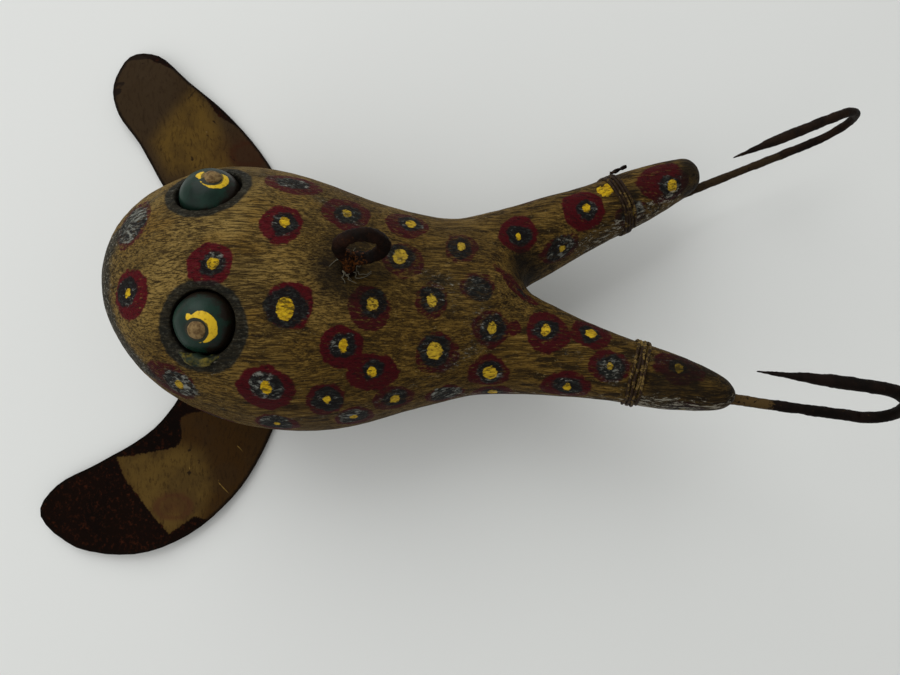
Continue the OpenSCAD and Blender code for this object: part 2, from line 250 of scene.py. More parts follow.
def add_belly(paint, colour, worn):
    """Grimy off-white underside, below the flanks."""
    ragged = paint.wander(4, seed=2)
    low = paint.step(paint.scaled(ragged, 0.35, paint.attribute("belly")), 0.30, 0.42)
    clouds = paint.step(paint.noise(9, detail=5, seed=8), 0.4, 0.6)
    chalk = paint.mix(clouds, srgb(132, 126, 108), srgb(84, 74, 56))
    chalk = paint.mix(worn, chalk, srgb(44, 36, 26))
    return paint.mix(low, colour, chalk)


def add_spots(paint, colour):
    """Maroon rings round slate cores, each with a yellow dab. The attributes are distances."""
    wander = paint.wander(4, detail=2, seed=11)
    bristle = paint.wander(0.6, (0.5, 1, 1), rough=0.75, seed=12)
    ragged = paint.scaled(wander, 3.4, paint.scaled(bristle, 1.9))
    ring = paint.math("ADD", paint.attribute("ring"), ragged)
    core = paint.scaled(ragged, -1.2, paint.attribute("core"))
    yolk = paint.scaled(wander, 2.6, paint.scaled(bristle, 1.8, paint.attribute("yolk")))
    dull = paint.attribute("dull")
    brushed = paint.noise(0.5, (0.4, 1, 1), wobble=0.004, rough=0.7, seed=15)
    rubbed = paint.noise(0.5, (0.25, 1, 1), wobble=0.006, rough=0.75, seed=17)

    maroon = paint.mix(dull, srgb(80, 5, 15), srgb(60, 24, 22))
    # The rings darken towards the rear and the left flank too: partly older paint, partly painted shade.
    maroon = paint.over(maroon, paint.attribute("age"), srgb(42, 5, 7), 0.6)
    maroon = paint.mix(paint.step(brushed, 0.48, 0.68), maroon, srgb(32, 5, 7))
    bare = paint.step(paint.scaled(dull, 0.13, rubbed), 0.58, 0.68)
    in_ring = paint.both(paint.inside(ring, 0.3), paint.scaled(bare, -0.8, 1.0))
    colour = paint.mix(in_ring, colour, maroon)

    slate = paint.mix(paint.step(brushed, 0.48, 0.68), srgb(13, 15, 15), srgb(48, 51, 48))
    in_core = paint.both(paint.inside(core, 0.45), paint.scaled(bare, -0.3, 0.96))
    colour = paint.mix(in_core, colour, slate)
    fleck = paint.noise(0.75, (0.45, 1, 1), wobble=0.010, detail=5, rough=0.72, seed=21)
    smear = paint.scaled(paint.step(paint.noise(3.2, detail=3, seed=22), 0.62, 0.40), -0.09)
    rare = paint.scaled(paint.attribute("fleck"), -0.16, paint.math("ADD", smear, 0.68))
    fleck = paint.scaled(paint.past(fleck, rare, 0.15), 0.8)
    colour = paint.mix(paint.both(fleck, in_core), colour, srgb(150, 151, 141))

    yellow = paint.mix(paint.step(brushed, 0.42, 0.62), srgb(206, 168, 26), srgb(160, 122, 16))
    yellow = paint.over(yellow, dull, srgb(164, 140, 60), 0.6)
    pitted = paint.step(paint.noise(0.6, (0.5, 1, 1), detail=3, rough=0.7, seed=23), 0.50, 0.60)
    yellow = paint.over(yellow, pitted, srgb(62, 52, 18), 0.8)
    in_yolk = paint.inside(yolk, 0.15)
    colour = paint.mix(in_yolk, colour, yellow)
    raised = paint.scaled(in_yolk, 0.8, paint.scaled(in_core, 0.25))
    return colour, paint.scaled(in_ring, 0.4, raised)


def add_charcoal(paint, colour):
    """Dark rings round the eye sockets, and the mouth along the edge of the nose."""
    wander = paint.wander(4, detail=3, seed=31)
    grey = paint.noise(0.5, (0.5, 1, 1), rough=0.72, seed=32)
    char = paint.mix(paint.step(grey, 0.48, 0.70), srgb(20, 21, 18), srgb(66, 65, 56))
    rim = paint.inside(paint.scaled(wander, 2.2, paint.attribute("rim")), 0.4)
    colour = paint.over(colour, rim, char, 0.93)
    mouth = paint.scaled(wander, 3.5, paint.attribute("mouth"))
    mouth = paint.inside(mouth, 1.2)
    chalky = paint.mix(paint.step(grey, 0.56, 0.66), char, srgb(150, 148, 138))
    return paint.over(colour, mouth, chalky, 0.85)


def add_dirt_and_shade(paint, colour):
    """Painted shade in the eye sockets, the crotch and along the right leg's inner side, darkening towards the
    bottom and the leg ends, grime round the wire and at the toes, and pale flecks where the paint is rubbed away.
    """
    # One dark coat serves for both the grime and the painted shade.
    dirt_and_shade = paint.math("ADD", paint.wander(5, seed=41), paint.attribute("grime"))
    colour = paint.over(colour, paint.step(dirt_and_shade, 0.3, 1.1), srgb(20, 15, 10), 0.9)
    rubbed = paint.scaled(paint.attribute("rubbed"), -0.30, 0.80)
    chips = paint.noise(0.6, (0.25, 1, 1), wobble=0.006, detail=5, rough=0.75, seed=51)
    chips = paint.past(chips, rubbed, 0.06)
    return paint.over(colour, chips, srgb(156, 150, 134), 0.75), chips


def painted_wood():
    paint = Paint("painted_wood")
    colour, worn, cover = wood_paint(paint)
    colour = add_belly(paint, colour, worn)
    colour, raised = add_spots(paint, colour)
    colour = add_charcoal(paint, colour)
    colour, chips = add_dirt_and_shade(paint, colour)
    height = paint.scaled(worn, -0.7, paint.scaled(cover, 0.8, raised))
    height = paint.scaled(chips, -0.4, height)
    rough = paint.scaled(worn, 0.16, 0.56)
    return paint.finish(colour, rough, height, depth=0.14, specular=0.07)


def eye_enamel():
    paint = Paint("eye_enamel")
    patches = paint.noise(5, seed=1)
    green = paint.mix(paint.step(patches, 0.4, 0.66), srgb(17, 43, 33), srgb(11, 27, 21))
    scuffs = paint.noise(2.4, detail=5, rough=0.7, seed=4)
    # Dark brown deeper into the socket and towards the hooks: partly worn paint, partly painted shade.
    worn = paint.scaled(paint.attribute("worn"), 0.55, scuffs)
    colour = paint.mix(paint.step(worn, 0.54, 0.76), green, srgb(24, 17, 10))
    wander = paint.wander(1.8, detail=3, seed=6)
    moon = paint.scaled(wander, 1.3, paint.attribute("moon"))
    in_moon = paint.inside(moon, 0.08)
    dabs = paint.step(paint.noise(0.5, detail=3, seed=7), 0.5, 0.72)
    colour = paint.mix(in_moon, colour, paint.mix(dabs, srgb(214, 176, 34), srgb(160, 124, 24)))
    hub = paint.inside(paint.scaled(wander, 0.8, paint.attribute("hub")), 0.1)
    colour = paint.over(colour, hub, srgb(40, 38, 26), 0.8)
    chips = paint.step(paint.noise(0.6, rough=0.75, seed=8), 0.70, 0.74)
    colour = paint.over(colour, chips, srgb(112, 104, 84), 0.6)
    height = paint.scaled(in_moon, 0.7, paint.noise(0.9, seed=9))
    return paint.finish(colour, 0.42, height, depth=0.08, specular=0.18)


def bare_peg():
    paint = Paint("bare_peg")
    rings = paint.noise(0.7, seed=2)
    colour = paint.mix(paint.step(rings, 0.4, 0.64), srgb(128, 104, 66), srgb(88, 66, 38))
    crack = paint.step(paint.noise(1.6, (0.35, 1, 1), wobble=0.01, detail=2, seed=3), 0.64, 0.70)
    colour = paint.mix(crack, colour, srgb(36, 26, 16))
    height = paint.math("SUBTRACT", rings, crack)
    return paint.finish(colour, 0.7, height, depth=0.12, specular=0.15)


def old_filler():
    paint = Paint("old_filler")
    patches = paint.noise(2.2, seed=1)
    colour = paint.mix(paint.step(patches, 0.44, 0.62), srgb(26, 38, 28), srgb(104, 92, 36))
    dark = paint.step(paint.noise(0.9, seed=2), 0.5, 0.65)
    colour = paint.mix(dark, colour, srgb(28, 30, 22))
    return paint.finish(colour, 0.6, patches, depth=0.25, specular=0.1)


def rust(name, dark, brown, orange, amount, painted=None):
    """Blackened iron with brown and orange rust.

    painted is a colour that covers it where the paint attribute is 1.
    """
    paint = Paint(name)
    cloud = paint.noise(3.2, detail=6, rough=0.65, seed=1)
    pits = paint.noise(0.55, rough=0.7, seed=2)
    colour = paint.mix(paint.step(cloud, 0.42, 0.62), dark, brown)
    bloom = paint.scaled(pits, 0.35, cloud)
    colour = paint.mix(paint.step(bloom, 0.80 - amount, 0.92 - amount), colour, orange)
    rough = paint.scaled(pits, 0.3, 0.5)
    if painted:
        mask = paint.scaled(paint.math("SUBTRACT", pits, 0.5), 2.8, paint.attribute("paint"))
        colour = paint.mix(paint.step(mask, 0.42, 0.58), colour, painted)
    return paint.finish(colour, rough, pits, depth=0.2, specular=0.06)


def tin(name, lacquer, cloudy, stain, base, pale):
    """Old lacquer on tin where the patch attribute is inside, with rust elsewhere."""
    paint = Paint(name)
    cloud = paint.noise(8, detail=5, rough=0.6, seed=1)
    fine = paint.noise(0.9, detail=5, rough=0.72, seed=2)
    brush = paint.noise(0.6, (1, 0.3, 1), wobble=0.01, rough=0.72, seed=3)
    uneven = paint.math("SUBTRACT", fine, 0.5)

    rusty = paint.mix(paint.step(cloud, 0.4, 0.62), base, srgb(10, 4, 2))
    rusty = paint.over(rusty, paint.step(fine, 0.51, 0.68), srgb(56, 24, 9), 0.75)
    # Paler lacquer inside one patch: partly its own tone, partly a painted sheen.
    coat = paint.mix(paint.attribute("glow"), cloudy, lacquer)
    coat = paint.over(coat, paint.step(cloud, 0.44, 0.62), srgb(48, 34, 18), 0.45)
    coat = paint.over(coat, paint.step(brush, 0.48, 0.68), srgb(32, 19, 7), 0.6)
    coat = paint.mix(paint.attribute("stain"), coat, stain)
    in_coat = paint.inside(paint.scaled(uneven, 3.0, paint.attribute("patch")), 0.25)
    colour = paint.mix(in_coat, rusty, coat)

    edge = paint.scaled(uneven, 1.6, paint.attribute("edge"))
    colour = paint.over(colour, paint.step(edge, 1.3, 0.4), srgb(12, 7, 4), 0.85)
    spots = paint.step(paint.noise(1.3, detail=3, seed=6), 0.67, 0.72)
    colour = paint.over(colour, spots, srgb(30, 16, 9), 0.8)
    dents = paint.inside(paint.scaled(uneven, 0.7, paint.attribute("dents")), 0.15)
    colour = paint.over(colour, dents, srgb(22, 13, 8), 0.85)
    scores = paint.inside(paint.scaled(uneven, 0.4, paint.attribute("scores")), 0.12)
    colour = paint.over(colour, scores, pale, 0.8)
    height = paint.scaled(in_coat, 0.4, paint.scaled(fine, 0.7))
    rough = paint.scaled(in_coat, -0.14, 0.66)
    return paint.finish(colour, rough, height, depth=0.1, specular=0.03)


def lead():
    paint = Paint("lead")
    cloud = paint.noise(4, detail=5, seed=1)
    colour = paint.mix(paint.step(cloud, 0.4, 0.65), srgb(92, 92, 92), srgb(58, 57, 55))
    return paint.finish(colour, 0.6, paint.noise(1.2, seed=2), depth=0.2, metallic=0.5)


def painted_wire(name, bare):
    """The leg's own paint over wire, with more of the wire bare as bare goes from 0 to 1."""
    paint = Paint(name)
    colour, _, cover = wood_paint(paint)
    patches = paint.noise(1.1, rough=0.7, seed=4)
    rubbed = 0.66 - 0.3 * bare
    colour = paint.mix(paint.step(patches, rubbed, rubbed + 0.12), colour, srgb(34, 21, 11))
    light = paint.step(paint.noise(0.6, rough=0.7, seed=6), 0.60, 0.70)
    colour = paint.over(colour, light, srgb(130, 116, 84), 0.6)
    return paint.finish(colour, 0.6, cover, depth=0.12, specular=0.1)


def thread(name, colour):
    paint = Paint(name)
    twist = paint.noise(0.3, detail=2, seed=1)
    return paint.finish(paint.mix(twist, colour, srgb(60, 54, 42)), 0.8, twist, depth=0.03)


# ---------------------------------------------------------------- meshes

def points_of(mesh):
    """Vertex positions in millimetres."""
    flat = np.empty(len(mesh.vertices) * 3)
    mesh.vertices.foreach_get("co", flat)
    return flat.reshape(-1, 3) / MM


def normals_of(mesh):
    flat = np.empty(len(mesh.vertices) * 3)
    mesh.vertices.foreach_get("normal", flat)
    return flat.reshape(-1, 3)


def move_points(mesh, points):
    mesh.vertices.foreach_set("co", (points * MM).ravel())
    mesh.update()


def store(mesh, **values):
    """One float per vertex under each name, for the materials."""
    for name, numbers in values.items():
        made = mesh.attributes.new(name, "FLOAT", "POINT")
        made.data.foreach_set("value", np.asarray(numbers, np.float32))


def piece(name, mesh, material, body, slot, *nodes):
    """A visible piece that rides on a body, in place of the CAD nodes that it stands for."""
    made = bpy.data.objects.new(name, mesh)
    scene.collection.objects.link(made)
    mesh.materials.append(material)
    mesh.shade_smooth()
    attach(made, body)
    if nodes:
        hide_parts(*nodes)
    return made


def roughen(mesh, size, depth, seed=0):
    """Moves each vertex along its normal by a noise of that size and depth, in millimetres."""
    points = points_of(mesh)
    shift = Vector((seed, 0, 0))
    lift = np.array([noise.noise(Vector(p) / size + shift) for p in points])
    move_points(mesh, points + normals_of(mesh) * lift[:, None] * depth)


def put_at(mesh, place):
    """Moves a mesh by a matrix whose shift is in millimetres."""
    mesh.transform(Matrix.Scale(MM, 4) @ place @ Matrix.Scale(1 / MM, 4))


def smooth_line(points, step):
    """Points every step millimetres along a smooth curve through the given ones."""
    points = [Vector(p) for p in points]
    ends = [2 * points[0] - points[1]] + points + [2 * points[-1] - points[-2]]
    line = []
    for a, b, c, d in zip(ends, ends[1:], ends[2:], ends[3:]):
        count = max(1, round((c - b).length / step))
        for t in (i / count for i in range(count)):
            line.append(0.5 * (2 * b + (c - a) * t + (2 * a - 5 * b + 4 * c - d) * t ** 2
                               + (3 * b - a - 3 * c + d) * t ** 3))
    return line + [points[-1]]


def tube(line, radius, sides=20, flat=1.0):
    """Closed round wire along a line. radius is a function of the share of its length."""
    bm = bmesh.new()
    rings = []
    angles = [2 * math.pi * k / sides for k in range(sides)]
    across = (line[1] - line[0]).orthogonal().normalized()
    for i, point in enumerate(line):
        along = (line[min(i + 1, len(line) - 1)] - line[max(i - 1, 0)]).normalized()
        across = (across - along * across.dot(along)).normalized()
        beside = along.cross(across)
        r = radius(i / (len(line) - 1))
        ring = [point + across * r * math.cos(a) + beside * r * flat * math.sin(a) for a in angles]
        rings.append([bm.verts.new(place * MM) for place in ring])
    for a, b in zip(rings, rings[1:]):
        for k in range(sides):
            bm.faces.new((a[k - 1], a[k], b[k], b[k - 1]))
    bm.faces.new(rings[0])
    bm.faces.new(rings[-1])
    bmesh.ops.recalc_face_normals(bm, faces=bm.faces)
    return to_mesh(bm)


def to_mesh(bm):
    mesh = bpy.data.meshes.new("piece")
    bm.to_mesh(mesh)
    bm.free()
    return mesh


def joined(*meshes):
    bm = bmesh.new()
    for mesh in meshes:
        bm.from_mesh(mesh)
    return to_mesh(bm)


def ball(radius):
    bm = bmesh.new()
    bmesh.ops.create_icosphere(bm, subdivisions=5, radius=radius * MM)
    return to_mesh(bm)


def lathed(x, y, profile, sides):
    """A round solid that stands on end, from (height, radius) pairs."""
    line = [Vector((x, y, height)) for height, _ in profile]
    return tube(line, lambda share: profile[round(share * (len(profile) - 1))][1], sides)


def cad_bmesh(node):
    """A copy of a CAD node's mesh with its loose triangles joined."""
    bm = bmesh.new()
    bm.from_mesh(frame["nodes"][node].data)
    bmesh.ops.remove_doubles(bm, verts=bm.verts, dist=1e-6)
    return bm


def fade(values, near, far):
    """1 at near and beyond it, 0 at far, smooth between them."""
    t = np.clip((values - far) / (near - far), 0, 1)
    return t * t * (3 - 2 * t)


def from_line(points, start, end):
    """Distance of each point from a line between two points."""
    start, way = np.array(start), np.array(end) - np.array(start)
    share = np.clip(((points - start) @ way) / (way @ way), 0, 1)
    return np.linalg.norm(points - start - share[:, None] * way, axis=1)


# ---------------------------------------------------------------- carved body

VOXEL = 0.6            # size of the body's faces, in millimetres
STEPS_OFF = 5          # rounds of smoothing that take the steps between those faces off
ROUNDING = 45          # rounds that take the CAD facets off
BLENDING = 160         # and rounds that run the legs into the trunk
FAR = 40.0             # a distance that no painted mark reaches, in millimetres


def remeshed(mesh, size):
    """The mesh as even small quads."""
    holder = bpy.data.objects.new("holder", mesh)
    scene.collection.objects.link(holder)
    remesh = holder.modifiers.new("even", "REMESH")
    remesh.mode = "VOXEL"
    remesh.voxel_size = size * MM
    evaluated = holder.evaluated_get(bpy.context.evaluated_depsgraph_get())
    result = bpy.data.meshes.new_from_object(evaluated)
    bpy.data.objects.remove(holder)
    return result


def smooth(points, edges, rounds, share):
    """Moves each point towards the middle of its neighbours, by its own share."""
    count = len(points)
    degree = np.bincount(edges.ravel(), minlength=count)[:, None]
    a, b = edges.T
    for _ in range(rounds):
        total = np.stack([np.bincount(a, points[b, k], count) + np.bincount(b, points[a, k], count)
                          for k in range(3)], 1)
        points = points + (total / degree - points) * share[:, None]
    return points


def out_of_eye(points, side):
    """Distance from the socket's axis, and height along it from the ball's middle."""
    axis = np.array(eye_axis(side, SOCKET_TILT[side]))
    away = points - np.array(EYE[side])
    height = away @ axis
    return np.linalg.norm(away - height[:, None] * axis, axis=1), height


def carve_body():
    """The CAD body with its facets smoothed off and its surface cut with a knife.

    The planed belly and the eye sockets keep their shape.
    """
    mesh = remeshed(to_mesh(cad_bmesh("body")), VOXEL)
    edges = np.empty(len(mesh.edges) * 2, np.int64)
    mesh.edges.foreach_get("vertices", edges)
    edges = edges.reshape(-1, 2)
    points = points_of(mesh)
    keep = fade(points[:, 2], 2.2, 4.5)
    for side in (LEFT, RIGHT):
        distance, height = out_of_eye(points, side)
        keep = np.maximum(keep, fade(distance, 9.2, 10.8) * (height > -12))
    points = smooth(points, edges, STEPS_OFF, np.full(len(points), 0.5))
    points = smooth(points, edges, ROUNDING, 0.5 * (1 - keep))
    waist = fade(np.abs(points[:, 0] - 13), 8, 26)
    points = smooth(points, edges, BLENDING, 0.5 * waist * (1 - keep))
    move_points(mesh, points)
    cuts = [Vector(p) * Vector((0.4, 1, 1)) for p in points]
    lift = np.array([0.32 * noise.noise(p / 9) + 0.07 * noise.noise(p / 1.7) for p in cuts])
    points += normals_of(mesh) * (lift * (1 - keep))[:, None]
    points[:, 2] = np.maximum(points[:, 2], 0)
    move_points(mesh, points)
    return mesh


# Lines through the trunk and the legs. A spot is placed along one of them and at an angle
# round it, from straight up towards the frog's right side.
LINES = {
    "trunk": (Vector((-90, -0.5, 31)), Vector((30, -6.5, 28.5))),
    "left_leg": [leg_frame(LEFT) @ Vector((x, 0, 0)) for x in (0, LEG_LENGTH[LEFT])],
    "right_leg": [leg_frame(RIGHT) @ Vector((x, 0, 0)) for x in (0, LEG_LENGTH[RIGHT])],
}

# Each spot: place along its line, angle, length, width, share of the slate core, its shift along
# and across, radius of the yellow dab, dullness, and amount of white flecks
SPOTS = {
    "trunk": [
        # head
        (15, -8, 12, 13, 0.60, -1.2, -0.6, 1.3, 0.1, 0.6),
        (11, 46, 11, 16, 0.80, 0, 0, 0, 0.7, 1.0),
        (36, 11, 12, 12, 0.55, 0.8, 0, 1.6, 0.1, 0.6),
        (25, -54, 15, 13, 0.64, 2.6, -0.4, 1.3, 0.6, 1.0),
        # back, from the eyes to the waist
        (51, -47, 15, 14, 0.58, 0.4, -0.9, 1.8, 0, 0.7),
        (57, -8, 12, 12, 0.88, -1, 1, 2.6, 0.1, 0.3),
        (52, 37, 11, 13, 0.58, 0.8, -0.8, 1.5, 0.1, 0.6),
        (52, 70, 16, 11, 0.60, 0, 0, 0, 0.5, 0.8),
        (68, 57, 13, 14, 0.60, -0.3, 0, 1.4, 0.5, 0.3),
        (84, 62, 12, 12, 0.60, 0.8, -0.8, 1.6, 0.5, 0.4),
        (84, 28, 11, 11, 0.70, -1, -1, 2.1, 0.8, 0),
        (99, 46, 9, 11, 0.72, 0, 0, 1.3, 0.9, 0),
        (76, -8, 11, 12, 0.66, 1, -1, 1.5, 0.6, 0.1),
        (92, -1, 9, 10, 0.70, 0, 0, 1.7, 0.8, 0.2),
        (70, -28, 11, 11, 0.62, 0.3, -0.4, 1.4, 0, 0.6),
        (78, -41, 13, 11, 0.50, -0.3, -0.5, 1.2, 0.1, 0.3),
        (94, -34, 11, 11, 0.78, -0.6, -0.6, 2.1, 0.6, 0.2),
        (66, -53, 10, 11, 0.74, 0.4, -0.6, 1.2, 0.3, 0.3),
        (83, -58, 11, 10, 0.66, 0.6, 0.2, 1.3, 0.6, 0.3),
        (52, -70, 12, 12, 0.72, 0, -0.5, 1.3, 0.2, 0.7),
        (73, -68, 11, 12, 0.72, -0.4, -0.4, 1.0, 0.3, 0.8),
        (97, -64, 11, 9, 0.75, 0, -0.6, 0, 0.4, 1.0),
        # rump
        (104, 11, 9, 8, 0.88, 0, 0, 0, 0.8, 0.3),
        (108, -19, 10, 10, 0.74, 0.2, 0, 1.6, 0.6, 0.5),
        (108, -48, 11, 10, 0.66, 0.4, 0, 1.9, 0.4, 0.7),
        (114, -19, 4, 4, 0.2, 0, 0, 0, 0.4, 0),
        # flanks
        (25, 88, 13, 12, 0.62, 0, 0, 1.6, 0.3, 0.5),
        (42, 108, 12, 12, 0.58, 0, 0, 1.5, 0.2, 0.4),
        (66, 96, 13, 12, 0.62, 0, 0, 1.5, 0.3, 0.4),
        (86, 100, 12, 10, 0.66, 0, 0, 1.3, 0.5, 0.2),
        (33, -82, 12, 10, 0.64, 0, 0, 1.3, 0.4, 0.6),
    ],
    "right_leg": [
        # top
        (16, 7, 12, 11, 0.55, -0.4, 0.6, 0.9, 0.1, 0.3),
        (37, 10, 13, 13, 0.46, 0.8, 0.5, 1.3, 0, 0.3),
        (26, -38, 13, 9, 0.74, 0.5, 0, 1.2, 0.7, 0.8),
        (63, 1, 16, 13, 0.50, 2.0, 2.2, 1.6, 0.3, 0.7),
        (50, -38, 11, 8, 0.66, 0.5, -0.8, 1.0, 0.8, 1.0),
        (45.2, 28, 3, 3, 0.2, 0, 0, 2.2, 0, 0),
        (47.4, 33, 3, 3, 0.2, 0, 0, 1.8, 0, 0),
        # outer side
        (24, 85, 12, 10, 0.60, 0, 0, 1.2, 0.3, 0.4),
        (44, 100, 11, 9, 0.60, 0, 0, 1.2, 0.3, 0.4),
        (66, 96, 11, 8, 0.60, 0, 0, 1.0, 0.3, 0.4),
    ],
    "left_leg": [
        # top
        (23, 24, 12, 12, 0.58, -0.5, 0, 1.2, 0.3, 0.3),
        (34, 44, 11, 10, 0.62, 0, 0.3, 1.4, 0.3, 0.3),
        (41, -4, 11, 9, 0.72, 0, -0.3, 0.8, 0.4, 0.45),
        (31, -49, 13, 10, 0.66, 0.4, 0, 1.3, 0.2, 0.6),
        (58, 30, 13, 9, 0.40, 0, 0, 1.3, 0.6, 0),
        (12.5, 57, 17, 4, 0.2, 0, 0, 0, 0.5, 0),
        # outer side
        (12, -72, 12, 9, 0.60, 0, 0, 1.2, 0.4, 0.4),
        (62, -78, 11, 8, 0.60, 0, 0, 1.0, 0.4, 0.4),
    ],
}


def spot_paint(tree, points):
    """Signed distances to the nearest spot's ring, core and yellow dab, and its looks."""
    found = {name: np.full(len(points), FAR) for name in ("ring", "core", "yolk")}
    looks = {name: np.zeros(len(points)) for name in ("dull", "fleck")}
    spots = [(*LINES[line], *spot) for line in SPOTS for spot in SPOTS[line]]
    for (start, end, along, angle, length, width, share,
         shift_u, shift_v, dab, dull, flecks) in spots:
        way = (end - start).normalized()
        up = (Vector((0, 0, 1)) - way * way.z).normalized()
        out = Matrix.Rotation(math.radians(-angle), 3, way) @ up
        centre, normal, _, _ = tree.ray_cast((start + way * along) * MM, out, 0.08)
        u_way = (way - normal * way.dot(normal)).normalized()
        v_way = -normal.cross(u_way)
        away = points - np.array(centre) / MM
        u, v, h = (away @ np.array(d) for d in (u_way, v_way, normal))
        v = np.copysign(np.hypot(v, h), v)
        small = min(length, width) / 2
        ring = (np.hypot(u / length, v / width) * 2 - 1) * small
        u, v = u - shift_u, v - shift_v
        core = (np.hypot(u / length, v / width) * 2 / share - 1) * small * share
        yolk = np.hypot(u / 0.9, v / 1.15) - dab if dab else FAR
        nearest = ring < found["ring"]
        for name, distance in (("ring", ring), ("core", core), ("yolk", yolk)):
            found[name] = np.where(nearest, distance, found[name])
        for name, amount in (("dull", dull), ("fleck", flecks)):
            looks[name] = np.where(nearest, amount, looks[name])
    return {**found, **looks}


def along_body(points):
    """The points in the body's own frame, where +X is still towards the hooks."""
    turn = np.array(BODY.inverted())
    return points @ turn[:3, :3].T + turn[:3, 3]


def strongest(*masks):
    return np.maximum.reduce(masks)


def body_paint(mesh):
    """Everything that the body's material reads, one number per vertex."""
    points = points_of(mesh)
    tree = BVHTree.FromPolygons([v.co for v in mesh.vertices],
                                [face.vertices[:] for face in mesh.polygons])
    down = -normals_of(mesh) @ np.array(BODY.to_3x3() @ Vector((0, 0, 1)))
    x, y, z = points.T
    body_x, body_y, body_z = along_body(points).T

    in_socket = np.minimum(out_of_eye(points, LEFT)[0], out_of_eye(points, RIGHT)[0])
    rim_radius, rim_depth, rim_shift = 11.8, -9, {LEFT: (0, 1.1, 0), RIGHT: (0, 0, 0)}
    rims = []
    for side in (LEFT, RIGHT):
        from_axis = out_of_eye(points + np.array(rim_shift[side]), side)[0]
        rims.append(np.where(out_of_eye(points, side)[1] > rim_depth, from_axis - rim_radius, FAR))
    lip = 22 + 0.2 * body_y - 0.006 * body_y ** 2
    gape = 9 * fade(body_x, -90, -72) * fade(body_y, 4, 15)
    mouth = np.maximum(body_z - lip, lip - gape - body_z)

    wire = np.linalg.norm(points - np.array(JOINTS["line_tie_turn"]["pos_m"]) / MM, axis=1)
    crotch = np.linalg.norm(points - np.array([28, 4, 33]), axis=1)
    filler = np.linalg.norm(points - np.array(EYE[LEFT]) - np.array([2, -11.5, 1]), axis=1)
    right_lash = from_line(points, (57, 16, 30), (61, 29, 33))
    right_toe = from_line(points, (81, 29, 27), (81, 36, 27))
    right_inner = from_line(points, (46, 14, 27), (74, 26, 27))
    left_end = from_line(points, (66, -28, 46), (82, -31, 46))
    left_toe = from_line(points, (60, -33, 45), (80, -34, 45))
    left_edge = from_line(points, (10, -32, 38), (58, -33, 43))

    # Painted shade in the eye sockets, the crotch and along the right leg's inner side; darker towards the bottom
    # and the leg ends; grime round the line tie, the right lashing and the toes.
    grime = strongest(
        fade(wire, 4, 20) * 0.85, fade(crotch, 3, 15) * 0.95, fade(in_socket, 8.2, 9.2) * 1.3,
        fade(z, 2, 9) * 0.5, fade(x, 86, 62) * 0.4, fade(right_lash, 1, 6),
        fade(right_inner, 2, 9) * 0.7, fade(right_toe, 3, 10), fade(left_end, 4, 15) * 0.85)
    rubbed = strongest(
        fade(left_toe, 3, 9), fade(left_edge, 2, 7) * 0.85, fade(right_inner, 3, 9) * 0.9,
        fade(filler, 2, 5) * 0.7, fade(body_x, -94, -84) * 0.4, fade(down, 0.3, -0.1) * 0.4)
    # Darker towards the rear and the left flank: partly older paint, partly painted shade where less light falls.
    age = np.clip(fade(x, -5, -55) * 0.75 + fade(y, -36, 0) * 0.75, 0, 1)
    store(mesh, belly=down, rim=np.minimum(*rims), mouth=mouth, grime=grime, rubbed=rubbed, age=age,
          nose=fade(body_x, -92, -70), split=fade(x, 45, 5), **spot_paint(tree, points))
    return tree


body_mesh = carve_body()
body_surface = body_paint(body_mesh)
piece("carved_body", body_mesh, painted_wood(), "frog", "painted_wood", "body")


# ---------------------------------------------------------------- eyes

def eye_frame(side, tilt, lean=0):
    """Matrix whose +Z runs out of the eye, +X towards the hooks and +Y to the right side."""
    facing = BODY @ turned(lean, "Y") @ turned(-side * tilt, "X")
    return moved(*EYE[side]) @ facing.to_3x3().to_4x4()


def painted_eye(points, outer, inner, dab):
    """Signed distance to one round minus another, with a dab beside it, seen along the peg."""
    def round_at(x, y, radius):
        return np.hypot(points[:, 0] - x, points[:, 1] - y) - radius

    shape = np.minimum(np.maximum(round_at(*outer), -round_at(*inner)), round_at(*dab))
    return np.where(points[:, 2] > 0, shape, FAR)


# Yellow on each eye, in millimetres from the peg: an outer and an inner round, and a dab
YELLOW = {
    LEFT: ((0.95, 0.5, 3.9), (-0.2, -0.2, 3.15), (-1.8, 3.3, 0.8)),
    RIGHT: ((0.3, 0.3, 3.9), (-0.4, -0.1, 2.9), (-2.9, 0.5, 1.3)),
}
YELLOW_END = {LEFT: FAR, RIGHT: 1.9}     # where it stops on the outer side
HUB_RADIUS = 2.9                         # the worn ring round each peg


def peg_frame(side):
    return eye_frame(side, PEG_TILT[side], PEG_LEAN[side])


def eye(side, name, material):
    """Turned ball, dished a little round the peg, with the yellow, and the wear with painted shade, stored on it.
    """
    place = peg_frame(side)
    size = EYE_RADIUS[side]
    mesh = ball(size)
    points = points_of(mesh)
    to_socket = place.to_3x3().inverted() @ eye_axis(side, SOCKET_TILT[side])
    # Darker deeper into the socket and towards the hooks: partly worn paint, partly painted shade.
    low = 1 - (points @ np.array(to_socket)) / size
    x, y, z = points.T
    store(mesh, moon=np.maximum(painted_eye(points, *YELLOW[side]), y - YELLOW_END[side]),
          hub=np.where(z > 0, np.hypot(x, y) - HUB_RADIUS, FAR),
          worn=np.clip(1.3 * low - 0.38 + 0.35 * x / size, 0, 1))
    dimple = np.exp(-(x ** 2 + y ** 2) / 7) * (z > 0)
    move_points(mesh, points * (1 - 0.02 * dimple[:, None]))
    roughen(mesh, 4, 0.16, seed=side)
    put_at(mesh, place)
    return piece(name, mesh, material, "frog", "eye_paint", f"{name}_ball")


